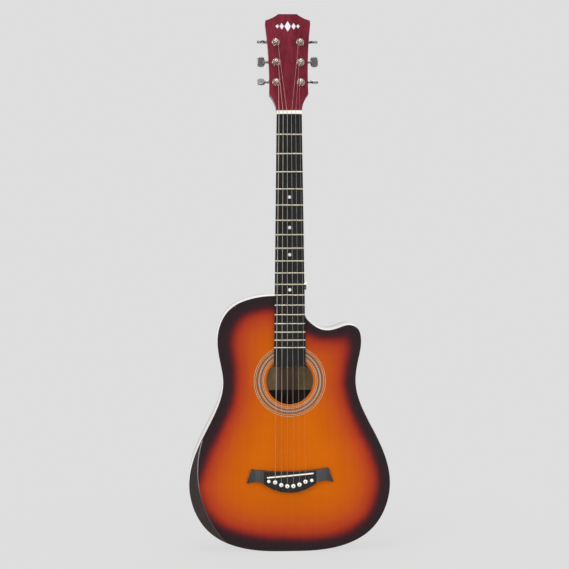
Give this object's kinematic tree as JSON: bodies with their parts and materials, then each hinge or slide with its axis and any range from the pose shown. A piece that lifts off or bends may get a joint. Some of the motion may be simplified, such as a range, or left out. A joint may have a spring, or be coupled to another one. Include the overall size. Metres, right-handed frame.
{
  "type": "acoustic guitar",
  "caption": "Steel-string acoustic guitar with a single rounded cutaway, sunburst top, slanted wing bridge and geared headstock tuners.",
  "frame": {"origin": "centre of the instrument's box on X and Y, at the lowest point of the tail", "axes": "+Z from the tail to the headstock, -Y out of the soundboard towards the player's audience, +X towards the treble strings"},
  "size_m": [0.3618, 0.098, 0.9642],
  "materials": {
    "sunburst_top": "high gloss sunburst lacquer, orange centre to black rim",
    "rosette": "inlaid rings under lacquer",
    "black_gloss": "high gloss black lacquer",
    "inner_wood": "bare sanded",
    "black_wood": "satin blackened",
    "ivory": "polished",
    "pearl": "polished",
    "steel": "plain",
    "chrome": "polished chrome plate",
    "fret_wire": "polished pale nickel brass",
    "wine_neck": "gloss wine red stain over open grain",
    "bronze_wire": "round-wound bronze",
    "brass": "machined"
  },
  "bodies": {
    "guitar": {"soundboard": "sunburst_top", "rosette_rings": "rosette", "back_plate": "black_gloss", "bass_side": "black_gloss", "treble_side": "black_gloss", "linings": "inner_wood", "end_blocks": "inner_wood", "soundboard_braces": "inner_wood", "back_braces": "inner_wood", "bridge_plate": "inner_wood", "bridge": "black_wood", "saddle": "ivory", "bridge_bolts": "steel", "bridge_bolt_caps": "pearl", "neck": "wine_neck", "fretboard": "black_wood", "frets": "fret_wire", "fret_dots": "pearl", "nut": "ivory", "truss_rod": "steel", "headstock_inlay": "pearl", "tuner_housings": "chrome", "tuner_covers": "chrome", "tuner_bushings": "chrome", "tuner_washers": "chrome", "tuner_screws": "steel", "strap_button": "chrome", "wound_strings": "bronze_wire", "plain_strings": "steel"},
    "truss_rod_adjuster": {"truss_rod_nut": "steel"},
    "key_1": {"tuner_knob_1": "chrome", "worm_shaft_1": "steel"},
    "post_1": {"string_post_1": "chrome", "worm_wheel_1": "brass"},
    "pin_1": {"bridge_pin_1": "ivory"},
    "key_2": {"tuner_knob_2": "chrome", "worm_shaft_2": "steel"},
    "post_2": {"string_post_2": "chrome", "worm_wheel_2": "brass"},
    "pin_2": {"bridge_pin_2": "ivory"},
    "key_3": {"tuner_knob_3": "chrome", "worm_shaft_3": "steel"},
    "post_3": {"string_post_3": "chrome", "worm_wheel_3": "brass"},
    "pin_3": {"bridge_pin_3": "ivory"},
    "key_4": {"tuner_knob_4": "chrome", "worm_shaft_4": "steel"},
    "post_4": {"string_post_4": "chrome", "worm_wheel_4": "brass"},
    "pin_4": {"bridge_pin_4": "ivory"},
    "key_5": {"tuner_knob_5": "chrome", "worm_shaft_5": "steel"},
    "post_5": {"string_post_5": "chrome", "worm_wheel_5": "brass"},
    "pin_5": {"bridge_pin_5": "ivory"},
    "key_6": {"tuner_knob_6": "chrome", "worm_shaft_6": "steel"},
    "post_6": {"string_post_6": "chrome", "worm_wheel_6": "brass"},
    "pin_6": {"bridge_pin_6": "ivory"}
  },
  "joints": [
    {"name": "key_turn_1", "type": "hinge", "parent": "guitar", "child": "key_1", "pos_m": [-0.0218, -0.00442, 0.84301], "axis": [-1, 0, 0], "continuous": true},
    {"name": "post_turn_1", "type": "hinge", "parent": "guitar", "child": "post_1", "pos_m": [-0.0218, -0.00593, 0.83649], "axis": [0, -0.9744, 0.225], "continuous": true, "deforming": ["wound_strings"]},
    {"name": "pin_pull_1", "type": "slide", "parent": "guitar", "child": "pin_1", "axis": [0, -1, 0], "range_m": [0, 0.03]},
    {"name": "key_turn_2", "type": "hinge", "parent": "guitar", "child": "key_2", "pos_m": [-0.0218, 0.00388, 0.87897], "axis": [-1, 0, 0], "continuous": true},
    {"name": "post_turn_2", "type": "hinge", "parent": "guitar", "child": "post_2", "pos_m": [-0.0218, 0.00237, 0.87244], "axis": [0, -0.9744, 0.225], "continuous": true, "deforming": ["wound_strings"]},
    {"name": "pin_pull_2", "type": "slide", "parent": "guitar", "child": "pin_2", "axis": [0, -1, 0], "range_m": [0, 0.03]},
    {"name": "key_turn_3", "type": "hinge", "parent": "guitar", "child": "key_3", "pos_m": [-0.0218, 0.0122, 0.91502], "axis": [-1, 0, 0], "continuous": true},
    {"name": "post_turn_3", "type": "hinge", "parent": "guitar", "child": "post_3", "pos_m": [-0.0218, 0.01069, 0.90849], "axis": [0, -0.9744, 0.225], "continuous": true, "deforming": ["wound_strings"]},
    {"name": "pin_pull_3", "type": "slide", "parent": "guitar", "child": "pin_3", "axis": [0, -1, 0], "range_m": [0, 0.03]},
    {"name": "key_turn_4", "type": "hinge", "parent": "guitar", "child": "key_4", "pos_m": [0.0218, 0.0122, 0.91502], "axis": [1, 0, 0], "continuous": true},
    {"name": "post_turn_4", "type": "hinge", "parent": "guitar", "child": "post_4", "pos_m": [0.0218, 0.01069, 0.90849], "axis": [0, -0.9744, 0.225], "continuous": true, "deforming": ["wound_strings"]},
    {"name": "pin_pull_4", "type": "slide", "parent": "guitar", "child": "pin_4", "axis": [0, -1, 0], "range_m": [0, 0.03]},
    {"name": "key_turn_5", "type": "hinge", "parent": "guitar", "child": "key_5", "pos_m": [0.0218, 0.00388, 0.87897], "axis": [1, 0, 0], "continuous": true},
    {"name": "post_turn_5", "type": "hinge", "parent": "guitar", "child": "post_5", "pos_m": [0.0218, 0.00237, 0.87244], "axis": [0, -0.9744, 0.225], "continuous": true, "deforming": ["plain_strings"]},
    {"name": "pin_pull_5", "type": "slide", "parent": "guitar", "child": "pin_5", "axis": [0, -1, 0], "range_m": [0, 0.03]},
    {"name": "key_turn_6", "type": "hinge", "parent": "guitar", "child": "key_6", "pos_m": [0.0218, -0.00442, 0.84301], "axis": [1, 0, 0], "continuous": true},
    {"name": "post_turn_6", "type": "hinge", "parent": "guitar", "child": "post_6", "pos_m": [0.0218, -0.00593, 0.83649], "axis": [0, -0.9744, 0.225], "continuous": true, "deforming": ["plain_strings"]},
    {"name": "pin_pull_6", "type": "slide", "parent": "guitar", "child": "pin_6", "axis": [0, -1, 0], "range_m": [0, 0.03]},
    {"name": "truss_rod_turn", "type": "hinge", "parent": "guitar", "child": "truss_rod_adjuster", "pos_m": [0, -0.02946, 0.402], "axis": [0, 0, 1], "range_deg": [-180, 180]}
  ],
  "couplings": [
    {"joint": "post_turn_1", "follows": "key_turn_1", "ratio": 0.071429},
    {"joint": "post_turn_2", "follows": "key_turn_2", "ratio": 0.071429},
    {"joint": "post_turn_3", "follows": "key_turn_3", "ratio": 0.071429},
    {"joint": "post_turn_4", "follows": "key_turn_4", "ratio": -0.071429},
    {"joint": "post_turn_5", "follows": "key_turn_5", "ratio": -0.071429},
    {"joint": "post_turn_6", "follows": "key_turn_6", "ratio": -0.071429}
  ]
}
